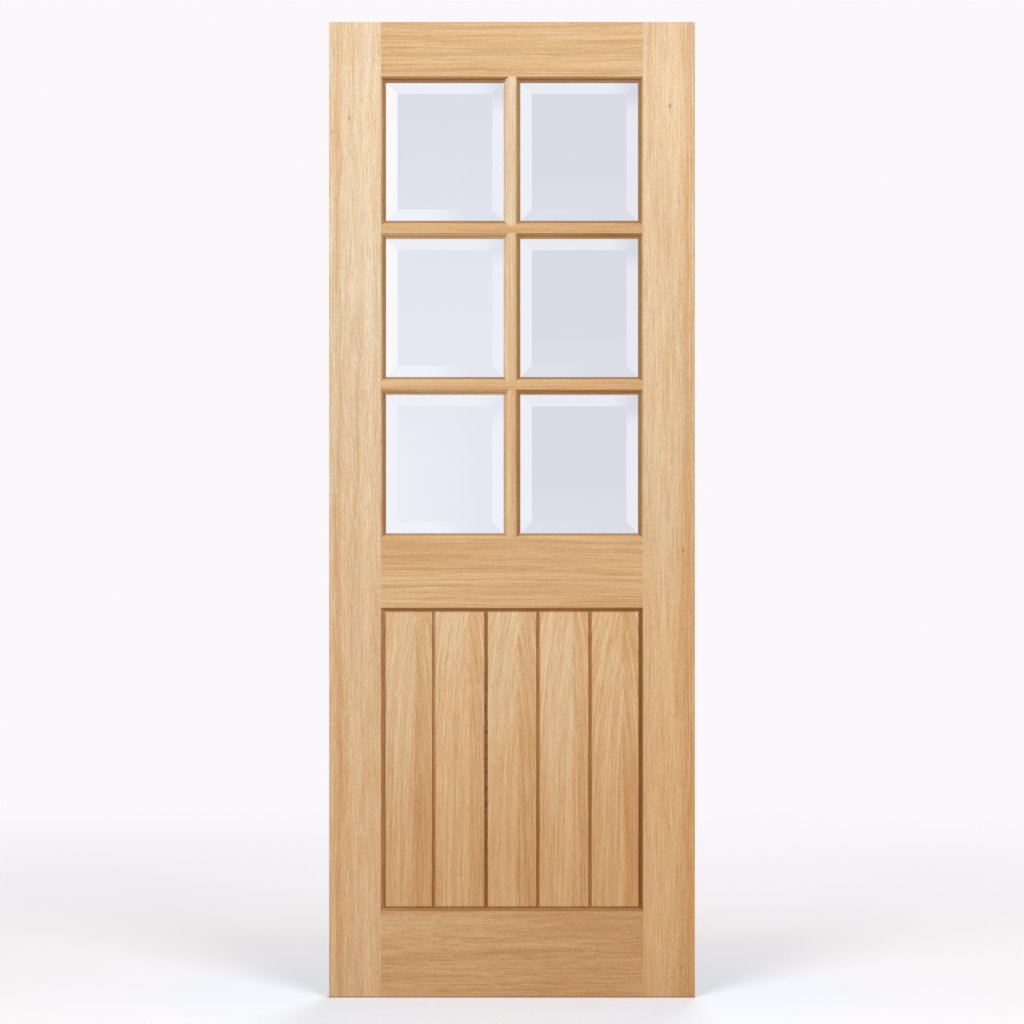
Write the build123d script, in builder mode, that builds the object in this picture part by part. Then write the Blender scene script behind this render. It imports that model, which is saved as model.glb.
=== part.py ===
from build123d import *
import os

os.makedirs("parts", exist_ok=True)

# An oak door leaf in millimetres: +Z up, the front face towards -Y, the origin at the middle
# of the bottom edge. Stiles run full height, rails and glazing bars are scribed between them.

# Size of the leaf
leaf_width = 762.0
leaf_height = 2032.0
leaf_thickness = 35.0

# Faces of the frame members, and the opening that holds the boards
stile_width = 108.0
top_rail_height = 114.0
mid_rail_height = 145.0
bottom_rail_height = 180.0
boarded_height = 632.0
long_edge_round = 1.5

# Glazing bars, each from one sight line to the other
cross_bar_height = 37.0
upright_bar_width = 35.0

# Moulding worked on every edge of an opening: a small step and a flat round that sets off at
# a slope, then beside the glass a lower step and a bevelled lip
quirk_depth = 0.9
round_radius = 5.4
round_slope = 0.55
lower_step = 1.6
lip_width = 4.6
lip_bevel_drop = 2.2

# Glass, and the rebate that it sits in
rebate_width = 12.0
glass_thickness = 6.0
glass_edge_thickness = 3.0
glass_bevel_width = 33.0
glass_edge_gap = 3.0
tape_thickness = 2.0
tape_set_back = 1.0
tape_edge_gap = 0.5
tape_butt_gap = 0.3

# Beads that hold the glass from the back
bead_nose = 1.0
bead_round = 8.0

# Tongued and grooved boards, bevelled all round by half the width of a V joint
board_count = 5
board_recess = 4.0
outer_board_extra = 1.75
vee_half_width = 4.2
board_side_gap = 0.5
tongue_thickness = 11.0
tongue_length = 8.0
tongue_face_clearance = 0.1
tongue_tip_clearance = 0.5
frame_groove_depth = 9.5
board_swelling_gap = 1.5

# Loose tenons between rails and stiles, and dowels in the glazing bars
tenon_length = 90.0
tenon_margin = 25.0
tenon_edge_clearance = 0.3
dowel_radius = 3.0
dowel_reach = 20.0
dowel_side_clearance = 0.1
joint_end_gap = 1.0
joint_end_chamfer = 1.0

# Places across the leaf
front = -leaf_thickness / 2
back = leaf_thickness / 2
leaf_half_width = leaf_width / 2
opening_half_width = leaf_half_width - stile_width
sticking_width = round_radius + lip_width

# Places up the leaf
boards_low = bottom_rail_height
boards_high = boards_low + boarded_height
glazing_low = boards_high + mid_rail_height
glazing_high = leaf_height - top_rail_height
section_change = (boards_high + glazing_low) / 2

# Depths through the leaf at a glazed edge
glass_back = glass_thickness / 2
glass_edge_front = glass_back - glass_edge_thickness
lip_back = glass_edge_front - tape_thickness
round_foot = front + quirk_depth + round_radius
rebate_behind_face = rebate_width - sticking_width
glass_cover = rebate_width - glass_edge_gap
tape_width = glass_cover - tape_set_back - tape_edge_gap

# Depths through the leaf at a boarded edge
board_front = front + board_recess
tongue_half = tongue_thickness / 2
groove_half = tongue_half + tongue_face_clearance

# Sight size of one pane, in two columns and three rows
pane_columns = {"left": -1, "right": 1}
pane_rows = ("lower", "middle", "upper")
pane_width = opening_half_width - sticking_width - upright_bar_width / 2
glazed_height = glazing_high - glazing_low
bars_across = len(pane_rows) - 1
pane_height = (glazed_height - 2 * sticking_width - bars_across * cross_bar_height) / len(pane_rows)
pane_pitch = pane_height + cross_bar_height
pane_side = (upright_bar_width + pane_width) / 2
first_pane_level = glazing_low + sticking_width + pane_height / 2
cross_bar_levels = [
    first_pane_level + (index + 0.5) * pane_pitch for index in range(bars_across)
]

pieces = {}


# Each edge function draws one edge of a member's section, from the front face to the back,
# and returns where the two faces stop. way is 1 or -1, from the member towards its edge.
def eased_edge(edge, way):
    face_end = edge - way * long_edge_round
    Line((edge, front + long_edge_round), (edge, back - long_edge_round))
    TangentArc(
        (face_end, front), (edge, front + long_edge_round), tangent=(way, 0)
    )
    TangentArc(
        (face_end, back), (edge, back - long_edge_round), tangent=(way, 0)
    )
    return face_end, face_end


def sawn_edge(edge, way):
    Line((edge, front), (edge, back))
    return edge, edge


def glazed_edge(edge, way):
    round_end = edge + way * round_radius
    sight_line = edge + way * sticking_width
    rebate_side = sight_line - way * rebate_width
    Line((edge, front), (edge, front + quirk_depth))
    TangentArc(
        (edge, front + quirk_depth), (round_end, round_foot), tangent=(way, round_slope)
    )
    Polyline(
        (round_end, round_foot),
        (round_end, round_foot + lower_step),
        (sight_line, round_foot + lower_step + lip_bevel_drop),
        (sight_line, lip_back),
        (rebate_side, lip_back),
        (rebate_side, back),
    )
    return edge, rebate_side


def boarded_edge(edge, way):
    round_end = edge + way * round_radius
    groove_bottom = round_end - way * frame_groove_depth
    for side in (-1, 1):
        step_foot = side * (back - quirk_depth)
        Line((edge, side * back), (edge, step_foot))
        slope = -side * round_slope
        TangentArc((edge, step_foot), (round_end, -side * round_foot), tangent=(way, slope))
        Polyline(
            (round_end, -side * round_foot),
            (round_end, side * groove_half),
            (groove_bottom, side * groove_half),
        )
    Line((groove_bottom, -groove_half), (groove_bottom, groove_half))
    return edge, edge


def member_outline(low, low_edge, high, high_edge):
    low_front, low_back = low_edge(low, -1)
    high_front, high_back = high_edge(high, 1)
    Line((low_front, front), (high_front, front))
    Line((low_back, back), (high_back, back))


# Plane across a rail or cross bar: its first axis runs up the leaf, its second to the back
across = Plane(origin=(0, 0, 0), x_dir=(0, 0, 1), z_dir=(-1, 0, 0))
lying_across = (0, 90, 0)

rail_spans = {
    "top_rail": (glazing_high, leaf_height),
    "mid_rail": (boards_high, glazing_low),
    "bottom_rail": (0, boards_low),
}


# Tenon and mortise at both ends of a rail, as thick as the groove that holds the boards
def tenons(rail):
    low, high = rail_spans[rail]
    level = (low + high) / 2
    with Locations((-opening_half_width, 0, level), (opening_half_width, 0, level)):
        Box(tenon_length, tongue_thickness, high - low - 2 * tenon_margin)


def mortises(rail):
    low, high = rail_spans[rail]
    level = (low + high) / 2
    room = high - low - 2 * (tenon_margin - tenon_edge_clearance)
    with Locations((-opening_half_width, 0, level), (opening_half_width, 0, level)):
        Box(tenon_length + 2 * joint_end_gap, 2 * groove_half, room, mode=Mode.SUBTRACT)


# Dowels lie in the middle of the wide part of the glazing bars, in front of the glass
dowel_depth = (front + lip_back) / 2
bar_end = opening_half_width - sticking_width / 2
bar_end_places = [
    Location((way * bar_end, dowel_depth, level), lying_across)
    for level in cross_bar_levels
    for way in (-1, 1)
]
upright_end_places = [
    Location((0, dowel_depth, glazing_low + sticking_width / 2)),
    Location((0, dowel_depth, glazing_high - sticking_width / 2)),
]
crossing_places = [Location((0, dowel_depth, level)) for level in cross_bar_levels]
dowel_length = 2 * dowel_reach
crossing_dowel_length = cross_bar_height + dowel_length


def dowels(places, length):
    with Locations(*places):
        Cylinder(dowel_radius, length)


def dowel_holes(places, length):
    with Locations(*places):
        Cylinder(
            dowel_radius + dowel_side_clearance,
            length + 2 * joint_end_gap,
            mode=Mode.SUBTRACT,
        )


# Stiles, with the boarded section below and the glazed section above
with BuildPart() as left_stile:
    with BuildSketch(Plane.XY):
        with BuildLine():
            member_outline(-leaf_half_width, eased_edge, -opening_half_width, boarded_edge)
        make_face()
    extrude(amount=section_change)
    with BuildSketch(Plane.XY.offset(section_change)):
        with BuildLine():
            member_outline(-leaf_half_width, eased_edge, -opening_half_width, glazed_edge)
        make_face()
    extrude(amount=leaf_height - section_change)
    for rail in rail_spans:
        mortises(rail)
    dowel_holes(bar_end_places, dowel_length)
pieces["left_stile"] = left_stile.part

with BuildPart() as right_stile:
    mirror(left_stile.part, about=Plane.YZ)
pieces["right_stile"] = right_stile.part

# Top rail, glazed below, its ends scribed to the stiles
with BuildPart() as top_rail:
    with BuildSketch(across):
        with BuildLine():
            member_outline(glazing_high, glazed_edge, leaf_height, sawn_edge)
        make_face()
    extrude(amount=opening_half_width + rebate_behind_face, both=True)
    add(left_stile.part, mode=Mode.SUBTRACT)
    add(right_stile.part, mode=Mode.SUBTRACT)
    mortises("top_rail")
    dowel_holes(upright_end_places, dowel_length)
pieces["top_rail"] = top_rail.part

# Mid rail, glazed above and grooved for the boards below
with BuildPart() as mid_rail:
    with BuildSketch(across):
        with BuildLine():
            member_outline(boards_high, boarded_edge, glazing_low, glazed_edge)
        make_face()
    extrude(amount=opening_half_width + rebate_behind_face, both=True)
    add(left_stile.part, mode=Mode.SUBTRACT)
    add(right_stile.part, mode=Mode.SUBTRACT)
    mortises("mid_rail")
    dowel_holes(upright_end_places, dowel_length)
pieces["mid_rail"] = mid_rail.part

# Bottom rail, grooved above, with a stub that enters the stiles' groove
stub_reach = frame_groove_depth - round_radius - joint_end_gap
with BuildPart() as bottom_rail:
    with BuildSketch(across):
        with BuildLine():
            member_outline(0, sawn_edge, boards_low, boarded_edge)
        make_face()
    extrude(amount=opening_half_width + stub_reach, both=True)
    add(left_stile.part, mode=Mode.SUBTRACT)
    add(right_stile.part, mode=Mode.SUBTRACT)
    mortises("bottom_rail")
pieces["bottom_rail"] = bottom_rail.part

# Cross bars, in one length from stile to stile
cross_bars = []
for name, level in zip(("lower_cross_bar", "upper_cross_bar"), cross_bar_levels):
    bar_face_half = cross_bar_height / 2 - sticking_width
    with BuildPart() as cross_bar:
        with BuildSketch(across):
            with BuildLine():
                member_outline(
                    level - bar_face_half, glazed_edge, level + bar_face_half, glazed_edge
                )
            make_face()
        extrude(amount=opening_half_width + rebate_behind_face, both=True)
        add(left_stile.part, mode=Mode.SUBTRACT)
        add(right_stile.part, mode=Mode.SUBTRACT)
        dowel_holes(bar_end_places, dowel_length)
        dowel_holes(crossing_places, crossing_dowel_length)
    cross_bars.append(cross_bar.part)
    pieces[name] = cross_bar.part

# Upright bars, one in each row, scribed to what is above and below
row_bounds = [mid_rail.part, *cross_bars, top_rail.part]
upright_face_half = upright_bar_width / 2 - sticking_width
for index, row in enumerate(pane_rows):
    row_low = first_pane_level + index * pane_pitch - pane_height / 2 - rebate_width
    with BuildPart() as upright_bar:
        with BuildSketch(Plane.XY.offset(row_low)):
            with BuildLine():
                member_outline(-upright_face_half, glazed_edge, upright_face_half, glazed_edge)
            make_face()
        extrude(amount=pane_height + 2 * rebate_width)
        add(row_bounds[index], mode=Mode.SUBTRACT)
        add(row_bounds[index + 1], mode=Mode.SUBTRACT)
        dowel_holes(upright_end_places, dowel_length)
        dowel_holes(crossing_places, crossing_dowel_length)
    pieces[f"{row}_upright_bar"] = upright_bar.part


# Panes of bevelled glass, each with its tape in front and its four mitred beads behind
def pane_plane(middle, level, depth):
    return Plane(origin=(middle, depth, level), x_dir=(1, 0, 0), z_dir=(0, -1, 0))


# A bead lies flush with the back beside its rebate wall, and its round faces the opening
def bead_section():
    bead_depth = back - glass_back
    round_start = bead_depth - bead_nose - bead_round
    flat_end = bead_nose + bead_round
    Polyline(
        (bead_nose, round_start),
        (0, round_start),
        (0, 0),
        (rebate_width, 0),
        (rebate_width, bead_depth),
        (flat_end, bead_depth),
        (flat_end, bead_depth - bead_nose),
    )
    TangentArc(
        (flat_end, bead_depth - bead_nose),
        (bead_nose, round_start),
        tangent=(-1, 0),
    )


bead_sides = {"left": (-1, 0), "right": (1, 0), "bottom": (0, -1), "top": (0, 1)}

for index, row in enumerate(pane_rows):
    for column, side in pane_columns.items():
        middle = side * pane_side
        level = first_pane_level + index * pane_pitch
        glass_width = pane_width + 2 * glass_cover
        glass_height = pane_height + 2 * glass_cover

        with BuildPart() as pane:
            with BuildSketch(pane_plane(middle, level, glass_back)):
                Rectangle(glass_width, glass_height)
            extrude(amount=glass_thickness)
            glass_face = pane.faces().sort_by(Axis.Y)[0]
            chamfer(
                glass_face.edges(),
                length=glass_bevel_width,
                length2=glass_thickness - glass_edge_thickness,
                reference=glass_face,
            )
        pieces[f"{row}_{column}_pane"] = pane.part

        strip_side = (pane_width + tape_width) / 2 + tape_set_back
        strip_end = (pane_height + tape_width) / 2 + tape_set_back
        with BuildPart() as tape:
            with BuildSketch(pane_plane(middle, level, glass_edge_front)):
                with Locations((-strip_side, 0), (strip_side, 0)):
                    Rectangle(tape_width, 2 * strip_end + tape_width)
                with Locations((0, -strip_end), (0, strip_end)):
                    Rectangle(2 * strip_side - tape_width - 2 * tape_butt_gap, tape_width)
            extrude(amount=tape_thickness)
            add(pane.part, mode=Mode.SUBTRACT)
        pieces[f"{row}_{column}_tape"] = tape.part

        for bead_name, (run_x, run_z) in bead_sides.items():
            to_side = abs(run_x) * pane_width / 2 + abs(run_z) * pane_height / 2
            to_end = abs(run_z) * pane_width / 2 + abs(run_x) * pane_height / 2
            section_plane = Plane(
                origin=(middle + run_x * to_side, glass_back, level + run_z * to_side),
                x_dir=(run_x, 0, run_z),
                z_dir=(-run_z, 0, run_x),
            )
            with BuildPart() as bead:
                with BuildSketch(section_plane):
                    with BuildLine():
                        bead_section()
                    make_face()
                extrude(amount=to_end + rebate_width, both=True)
                for end in (-1, 1):
                    mitre_plane = Plane(
                        origin=section_plane.from_local_coords((0, 0, end * to_end)),
                        z_dir=end * section_plane.z_dir - section_plane.x_dir,
                    )
                    split(bisect_by=mitre_plane, keep=Keep.BOTTOM)
            pieces[f"{row}_{column}_bead_{bead_name}"] = bead.part


# Boards of the lower panel, tongued on the right and grooved on the left, bevelled all round
def board_edge(shoulder, way, tip, tip_half):
    face_end = shoulder - way * vee_half_width
    bevel_end = board_front + vee_half_width
    return [
        (face_end, board_front),
        (shoulder, bevel_end),
        (shoulder, -tip_half),
        (tip, -tip_half),
        (tip, tip_half),
        (shoulder, tip_half),
        (shoulder, -bevel_end),
        (face_end, -board_front),
    ]


shoulder_margin = round_radius + board_side_gap
panel_shoulder = opening_half_width - shoulder_margin
frame_tongue_tip = frame_groove_depth - round_radius - board_swelling_gap
panel_tip = opening_half_width + frame_tongue_tip
tongue_room = tongue_length + tongue_tip_clearance
board_ends = {-1: boards_low, 1: boards_high}
board_pitch = 2 * (opening_half_width - outer_board_extra) / board_count
joint_lines = [
    (index - board_count / 2) * board_pitch for index in range(1, board_count)
]

for index in range(board_count):
    if index == 0:
        left_points = board_edge(-panel_shoulder, -1, -panel_tip, tongue_half)
    else:
        joint = joint_lines[index - 1]
        left_points = board_edge(joint, -1, joint + tongue_room, groove_half)
    if index == board_count - 1:
        right_points = board_edge(panel_shoulder, 1, panel_tip, tongue_half)
    else:
        joint = joint_lines[index]
        right_points = board_edge(joint, 1, joint + tongue_length, tongue_half)
    with BuildPart() as board:
        with BuildSketch(Plane.XY.offset(boards_low - frame_tongue_tip)):
            with BuildLine():
                Polyline(*right_points, *reversed(left_points), close=True)
            make_face()
        extrude(amount=boarded_height + 2 * frame_tongue_tip)
        for way, opening_end in board_ends.items():
            shoulder_end = opening_end - way * shoulder_margin
            face_end = shoulder_end - way * vee_half_width
            past_end = opening_end + way * frame_groove_depth
            for side in (-1, 1):
                with BuildSketch(Plane.YZ):
                    with BuildLine():
                        Polyline(
                            (side * tongue_half, shoulder_end),
                            (-side * (board_front + vee_half_width), shoulder_end),
                            (-side * board_front, face_end),
                            (side * back, face_end),
                            (side * back, past_end),
                            (side * tongue_half, past_end),
                            close=True,
                        )
                    make_face()
                extrude(amount=leaf_half_width, both=True, mode=Mode.SUBTRACT)
    pieces[f"board_{index + 1}"] = board.part


# Loose tenons, a pair for each rail, and the dowels of the glazing bars
for rail in rail_spans:
    with BuildPart() as rail_tenons:
        tenons(rail)
        tenon_ends = rail_tenons.faces().filter_by(Axis.X)
        chamfer(tenon_ends.edges(), length=joint_end_chamfer)
    pieces[f"{rail}_tenons"] = rail_tenons.part

with BuildPart() as bar_dowels:
    dowels(bar_end_places + upright_end_places, dowel_length)
    dowels(crossing_places, crossing_dowel_length)
    chamfer(bar_dowels.edges().filter_by(GeomType.CIRCLE), length=joint_end_chamfer)
pieces["glazing_bar_dowels"] = bar_dowels.part

for name, piece in pieces.items():
    piece.label = name
    export_step(piece, f"parts/{name}.step")
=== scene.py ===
from math import cos, radians

import bpy
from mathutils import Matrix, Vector


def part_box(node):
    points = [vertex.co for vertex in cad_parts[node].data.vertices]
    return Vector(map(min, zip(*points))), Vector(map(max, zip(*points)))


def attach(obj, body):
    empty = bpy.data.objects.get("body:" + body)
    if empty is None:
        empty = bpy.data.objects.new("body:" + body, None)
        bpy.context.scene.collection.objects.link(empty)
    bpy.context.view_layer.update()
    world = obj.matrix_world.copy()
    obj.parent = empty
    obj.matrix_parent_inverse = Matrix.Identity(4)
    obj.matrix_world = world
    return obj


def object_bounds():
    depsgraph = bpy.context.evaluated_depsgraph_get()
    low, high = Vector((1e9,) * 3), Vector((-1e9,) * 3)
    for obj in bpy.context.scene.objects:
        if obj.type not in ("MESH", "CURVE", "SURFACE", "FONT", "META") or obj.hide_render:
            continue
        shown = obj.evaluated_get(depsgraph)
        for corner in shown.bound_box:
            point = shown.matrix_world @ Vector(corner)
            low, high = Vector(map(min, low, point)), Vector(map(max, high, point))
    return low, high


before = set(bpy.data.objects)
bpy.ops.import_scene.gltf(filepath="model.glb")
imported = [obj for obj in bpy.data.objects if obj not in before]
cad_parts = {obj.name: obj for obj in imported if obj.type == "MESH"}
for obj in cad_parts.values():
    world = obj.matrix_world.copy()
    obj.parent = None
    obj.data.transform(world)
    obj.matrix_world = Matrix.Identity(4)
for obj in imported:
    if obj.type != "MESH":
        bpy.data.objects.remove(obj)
cad_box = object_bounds()
leaf_low, leaf_high = cad_box
scene = bpy.context.scene
scene.view_settings.view_transform = "Standard"


# The viewpoint: a long lens, level and straight on to the front face, a little below the
# middle of the leaf's height.
view_distance = 6.0
view_height = 1.0114
view_reach = 100.0
picture_height = 2.1325
camera_data = bpy.data.cameras.new("camera")
camera_data.lens = camera_data.sensor_width * view_distance / picture_height
camera_data.clip_end = view_reach
camera = bpy.data.objects.new("camera", camera_data)
camera.location = (0, leaf_low.y - view_distance, view_height)
camera.rotation_euler = (radians(90), 0, 0)
scene.collection.objects.link(camera)
scene.camera = camera


# The studio: a wide pale floor that runs out into a pale surround of the same colour, with two
# large soft lamps high in front and a weaker one behind. Seen directly, the floor keeps the
# leaf's shadow, is painted cooler near the foot against the warm light the wood throws back,
# and fades into the surround further off.
pale = (0.965, 0.939, 0.965, 1)
bounce_cooling_pale = (0.872, 0.928, 1.0, 1)
near_fades = (0.25, 1.1)
shade_share = 0.92
shade_fades = (0.4, 4.3)
floor_paint = (0.55, 0.54, 0.55, 1)
floor_radius = 14.0
floor_sides = 96
surround_tone = (1, 0.99, 0.97, 1)
surround_light = 0.33


def feed(tree, socket, value):
    if isinstance(value, bpy.types.NodeSocket):
        tree.links.new(value, socket)
    else:
        socket.default_value = value


def add_node(tree, kind, inputs=None, **settings):
    made = tree.nodes.new(kind if "Node" in kind else "ShaderNode" + kind)
    for name, value in settings.items():
        setattr(made, name, value)
    for name, value in (inputs or {}).items():
        feed(tree, made.inputs[name], value)
    return made


def calc(tree, operation, *values):
    numbered = dict(enumerate(values))
    return add_node(tree, "Math", numbered, operation=operation).outputs[0]


def smooth_step(tree, value, low, high):
    limits = {"Value": value, "From Min": low, "From Max": high}
    return add_node(tree, "MapRange", limits, interpolation_type="SMOOTHSTEP").outputs[0]


def mix_colour(tree, share, first, second, blend_type="MIX"):
    chosen = {0: share, 6: first, 7: second}
    made = add_node(tree, "Mix", chosen, data_type="RGBA", blend_type=blend_type)
    return made.outputs[2]


def mix_surfaces(tree, share, first, second):
    surfaces = {0: share, 1: first.outputs[0], 2: second.outputs[0]}
    return add_node(tree, "MixShader", surfaces)


def seen_directly(tree):
    path = add_node(tree, "LightPath").outputs
    seen = calc(tree, "MAXIMUM", path["Is Camera Ray"], path["Is Glossy Ray"])
    return calc(tree, "MAXIMUM", seen, path["Is Transmission Ray"])


def bare_material(name):
    material = bpy.data.materials.new(name)
    material.use_nodes = True
    tree = material.node_tree
    tree.nodes.clear()
    place = add_node(tree, "TexCoord").outputs["Object"]
    return material, tree, place


def show_surface(tree, surface):
    add_node(tree, "OutputMaterial", {"Surface": surface.outputs[0]})


world = bpy.data.worlds.new("surround")
world.use_nodes = True
tree = world.node_tree
tree.nodes.clear()
shown_surround = add_node(tree, "Background", {"Color": pale, "Strength": 1.0})
lighting = {"Color": surround_tone, "Strength": surround_light}
lighting_surround = add_node(tree, "Background", lighting)
surround = mix_surfaces(tree, seen_directly(tree), lighting_surround, shown_surround)
add_node(tree, "OutputWorld", {"Surface": surround.outputs[0]})
scene.world = world

floor_material, tree, place = bare_material("studio_floor")
distance = add_node(tree, "VectorMath", {0: place}, operation="LENGTH").outputs["Value"]
far_off = smooth_step(tree, distance, *shade_fades)
faded = calc(tree, "MULTIPLY_ADD", far_off, shade_share, 1 - shade_share)
# Painted cooler near the foot, against the wood's warm bounce light.
cooled = mix_colour(tree, smooth_step(tree, distance, *near_fades), bounce_cooling_pale, pale)
shown_paint = add_node(tree, "BsdfDiffuse", {"Color": cooled})
glow = add_node(tree, "Emission", {"Color": pale, "Strength": 1.0})
shown_floor = mix_surfaces(tree, faded, shown_paint, glow)
lighting_floor = add_node(tree, "BsdfDiffuse", {"Color": floor_paint})
show_surface(tree, mix_surfaces(tree, seen_directly(tree), lighting_floor, shown_floor))

bpy.ops.mesh.primitive_circle_add(vertices=floor_sides, radius=floor_radius, fill_type="NGON")
floor = bpy.context.object
floor.name = "studio_floor"
floor.data.materials.append(floor_material)


# The lamps light the leaf but don't show through its glass.
def soft_lamp(name, place, aim_height, side, power):
    data = bpy.data.lights.new(name, "AREA")
    data.shape = "RECTANGLE"
    data.size = side
    data.size_y = side
    data.energy = power
    lamp = bpy.data.objects.new(name, data)
    lamp.location = place
    way = Vector((0, 0, aim_height)) - Vector(place)
    lamp.rotation_euler = way.to_track_quat("-Z", "Y").to_euler()
    lamp.visible_transmission = False
    scene.collection.objects.link(lamp)


soft_lamp("left_lamp", (-1.9, -3.7, 4.2), aim_height=1.1, side=2.0, power=128)
soft_lamp("right_lamp", (1.9, -3.7, 4.1), aim_height=1.1, side=2.0, power=118)
soft_lamp("back_lamp", (0.7, 3.9, 4.0), aim_height=1.0, side=1.8, power=89)


# The two stiles: rift-cut oak 35 mm thick, full height, moulded on the inner edge and sanded,
# then sealed with a clear matt lacquer. Their colour is painted paler towards the head and
# darker towards the foot, light and shade as from high lamps.
cream_oak = (0.840, 0.714, 0.545, 1)
amber_oak = (0.620, 0.376, 0.175, 1)
pore_and_foot_shadow_brown = (0.30, 0.165, 0.075, 1)
knot_brown = (0.36, 0.19, 0.075, 1)
untinted = (1, 1, 1)
lacquer_index = 1.48
painted_falloff_levels = (0.35, 1.55)
left_to_right = (-0.3, 0.3)
leaf_middle = (leaf_low.z + leaf_high.z) / 2
to_the_ends = (0.88, 1.0)
# A painted contact shadow darkens the lowest few millimetres of the leaf.
painted_foot_shadow = (0.0036, 0.0016)
painted_foot_shadow_share = 0.75
inside_side_edges = (leaf_high.x - 0.0004, leaf_high.x - 0.0012)
inside_head_edge = (leaf_high.z - 0.0004, leaf_high.z - 0.0012)
facing_enough = (0.15, 0.35)
below_mid_rail = (0.93, 0.90)
right_of_middle = (-0.01, 0.01)


def shader_group(name, inputs, outputs):
    group = bpy.data.node_groups.new(name, "ShaderNodeTree")
    for label, kind, value in inputs:
        kind = "NodeSocket" + kind
        socket = group.interface.new_socket(label, in_out="INPUT", socket_type=kind)
        if value is not None:
            socket.default_value = value
    for label, kind in outputs:
        group.interface.new_socket(label, in_out="OUTPUT", socket_type="NodeSocket" + kind)
    entry = group.nodes.new("NodeGroupInput").outputs
    leave = group.nodes.new("NodeGroupOutput").inputs
    return group, entry, leave


def use_group(tree, group, **values):
    made = tree.nodes.new("ShaderNodeGroup")
    made.node_tree = group
    for label, value in values.items():
        feed(tree, made.inputs[label.replace("_", " ").title()], value)
    return made.outputs


def stretched_noise(tree, place, scale, detail, roughness=0.5):
    across, along = scale
    stretch = {0: place, 1: (across, across, along)}
    scaled = add_node(tree, "VectorMath", stretch, operation="MULTIPLY").outputs[0]
    noise = {"Vector": scaled, "Scale": 1.0, "Detail": detail, "Roughness": roughness}
    return add_node(tree, "TexNoise", noise).outputs[0]


def centred(tree, value):
    return calc(tree, "SUBTRACT", value, 0.5)


def multiplied(tree, first, *others):
    for value in others:
        first = calc(tree, "MULTIPLY", first, value)
    return first


def length_of(tree, first, second):
    first = calc(tree, "POWER", first, 2)
    second = calc(tree, "POWER", second, 2)
    return calc(tree, "SQRT", calc(tree, "ADD", first, second))


def away_from(tree, value, level):
    return calc(tree, "ABSOLUTE", calc(tree, "SUBTRACT", value, level))


def tinted(tree, colour, tint):
    return mix_colour(tree, 1.0, colour, tint, "MULTIPLY")


def rgba(tint):
    return (*tint, 1)


# Grain runs along Z of the place that comes in. Its lines keep their distance from the heart of
# the log, which lies so many metres to the side and behind, and close towards the arch level.
# Noise scales are across and along the grain, in cycles a metre.
wander_scale = (9, 2.2)
ripple_scale = (60, 12)
ripple_depth = 0.0016
band_scale = (36, 0.9)
line_scale = (165, 1.6)
hair_scale = (620, 7)
break_scale = (170, 42)
fleck_scale = (460, 120)
blush_scale = (24, 4)
dash_scale = (380, 45)
pore_scale = (1300, 110)
change_across = 0.15
change_inward = 0.2
hair_raggedness = 0.6
hair_breaks = (2.2, -0.1)
past_the_heart = (-0.002, 0.003)
well_past_the_heart = (0.012, 0.040)
far_side_relief = -0.35
blush_spread = (0.35, 0.65)
dash_sizes = (0.58, 0.72)
pore_sizes = (0.56, 0.70)
line_height = 0.3
hair_height = 0.5
smooth_lacquer = 0.47
hair_roughness = 0.25
pore_roughness = 0.3
oak_grain, given, gives = shader_group(
    "oak_grain",
    [
        ("Place", "Vector", None),
        ("Cream", "Color", cream_oak),
        ("Amber", "Color", amber_oak),
        ("Pore Colour", "Color", pore_and_foot_shadow_brown),
        ("Blush", "Color", (1.01, 0.975, 0.95, 1)),
        ("Tone Shift", "Float", 0.0),
        ("Heart Side", "Float", 0.6),
        ("Heart Depth", "Float", 0.2),
        ("Wander", "Float", 0.012),
        ("Shortness", "Float", 1.0),
        ("Arch Rise", "Float", 0.0),
        ("Arch Level", "Float", 0.0),
        ("Arch Length", "Float", 0.2),
        ("Bands", "Float", 1.0),
        ("Lines", "Float", 1.0),
        ("Hairs", "Float", 1.7),
        ("Flecks", "Float", 0.45),
        ("Dark Side", "Float", 0.0),
        ("Dashes", "Float", 0.16),
        ("Pores", "Float", 0.25),
    ],
    [("Color", "Color"), ("Roughness", "Float"), ("Height", "Float")],
)
tree = oak_grain
place = given["Place"]
where = add_node(tree, "SeparateXYZ", {0: place}).outputs
wander = centred(tree, stretched_noise(tree, place, wander_scale, 2))
wander = calc(tree, "MULTIPLY", wander, given["Wander"])
ripple = centred(tree, stretched_noise(tree, place, ripple_scale, 2))
ripple = calc(tree, "MULTIPLY", ripple, ripple_depth)
to_side = calc(tree, "SUBTRACT", where["X"], given["Heart Side"])
to_heart = calc(tree, "SUBTRACT", where["Y"], given["Heart Depth"])
below_arch = calc(tree, "SUBTRACT", where["Z"], given["Arch Level"])
below_arch = calc(tree, "DIVIDE", below_arch, given["Arch Length"])
rise = calc(tree, "MULTIPLY", calc(tree, "EXPONENT", below_arch), given["Arch Rise"])
from_heart = calc(tree, "ADD", length_of(tree, to_side, to_heart), rise)
from_heart = calc(tree, "ADD", from_heart, calc(tree, "ADD", wander, ripple))
change = calc(tree, "MULTIPLY", where["Y"], change_inward)
change = calc(tree, "MULTIPLY_ADD", to_side, change_across, change)
along = calc(tree, "MULTIPLY", where["Z"], given["Shortness"])
ring_place = {"X": from_heart, "Y": change, "Z": along}
ring_place = add_node(tree, "CombineXYZ", ring_place).outputs[0]
bands = centred(tree, stretched_noise(tree, ring_place, band_scale, 1))
lines = centred(tree, stretched_noise(tree, ring_place, line_scale, 2))
hairs = centred(tree, stretched_noise(tree, ring_place, hair_scale, 2, hair_raggedness))
broken = stretched_noise(tree, place, break_scale, 1)
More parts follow.
